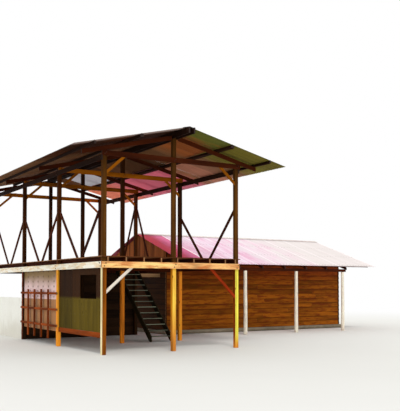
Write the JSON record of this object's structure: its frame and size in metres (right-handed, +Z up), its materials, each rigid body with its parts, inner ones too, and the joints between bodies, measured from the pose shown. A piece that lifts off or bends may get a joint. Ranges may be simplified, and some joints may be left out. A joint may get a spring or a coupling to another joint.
{
  "type": "stilt house",
  "caption": "Open post-and-beam platform house on stilts under a sheet gable roof, with a stair under the deck and a plank cabin with a porch and a red corrugated roof joined behind it.",
  "frame": {"origin": "the middle of the front left post's foot, on the ground", "axes": "+X runs to the right along the open front, +Y runs back along the ridge of the platform roof, +Z is up"},
  "size_m": [15.514, 11.6722, 6.0744],
  "materials": {
    "sunlit_post_wood": "rough sawn, sun-warmed",
    "dark_frame_wood": "rough sawn, dark reddish brown",
    "ochre_frame_wood": "rough sawn, ochre",
    "edge_beam_wood": "sawn plank, bleached peach",
    "deck_wood": "weathered boards",
    "whitewashed_wood": "worn white paint on wood",
    "brown_roof_sheet": "weathered brown sheet",
    "grey_roof_sheet": "weathered galvanised sheet",
    "red_roof_sheet": "faded red paint on corrugated sheet",
    "clear_sheet": "translucent corrugated sheet",
    "red_clear_sheet": "translucent red corrugated sheet",
    "green_wall_board": "dull olive paint",
    "red_brown_wood": "red brown wood",
    "pale_wall_sheet": "off-white sheet with nail marks",
    "grey_wall_sheet": "plain grey sheet",
    "white_wall_sheet": "plain white sheet",
    "cabin_plank": "lapped brown planks",
    "base_concrete": "rough cast concrete",
    "weathered_round_wood": "bare silver grey round wood"
  },
  "bodies": {
    "root": {"front_left_post": "sunlit_post_wood", "front_middle_post": "sunlit_post_wood", "front_right_post": "sunlit_post_wood", "second_row_posts": "sunlit_post_wood", "third_row_posts": "dark_frame_wood", "back_row_posts": "dark_frame_wood", "front_edge_beam": "edge_beam_wood", "side_edge_beams": "edge_beam_wood", "rear_floor_beams": "dark_frame_wood", "floor_joists": "dark_frame_wood", "well_trimmers": "dark_frame_wood", "deck_boards": "deck_wood", "front_tie_beam": "dark_frame_wood", "rear_tie_beams": "ochre_frame_wood", "wall_plates": "dark_frame_wood", "ridge_beam": "dark_frame_wood", "front_rafters": "dark_frame_wood", "rear_rafters": "dark_frame_wood", "roof_purlins": "dark_frame_wood", "left_roof_sheets": "brown_roof_sheet", "right_front_sheets": "grey_roof_sheet", "right_upper_sheets": "brown_roof_sheet", "right_lower_sheets": "red_clear_sheet", "clear_roof_sheet": "clear_sheet", "ridge_cap": "grey_roof_sheet", "upper_knee_braces": "ochre_frame_wood", "lower_left_brace": "whitewashed_wood", "lower_right_brace": "dark_frame_wood", "left_side_braces": "dark_frame_wood", "right_side_braces": "dark_frame_wood", "window_wall": "green_wall_board", "sill_rail": "red_brown_wood", "pale_side_sheet": "pale_wall_sheet", "grey_side_sheet": "grey_wall_sheet", "white_side_sheet": "white_wall_sheet", "side_railing": "red_brown_wood", "lower_back_wall": "dark_frame_wood", "stair_stringers": "deck_wood", "stair_treads": "deck_wood", "joining_beam": "deck_wood", "cabin_base": "base_concrete", "cabin_front_wall": "cabin_plank", "cabin_back_wall": "cabin_plank", "cabin_left_gable": "cabin_plank", "cabin_right_gable": "cabin_plank", "cabin_ridge_board": "dark_frame_wood", "cabin_rafters": "dark_frame_wood", "cabin_purlins": "dark_frame_wood", "porch_beam": "dark_frame_wood", "porch_posts": "weathered_round_wood", "cabin_front_roof": "red_roof_sheet", "cabin_back_roof": "red_roof_sheet", "cabin_ridge_cap": "red_roof_sheet"}
  },
  "joints": []
}
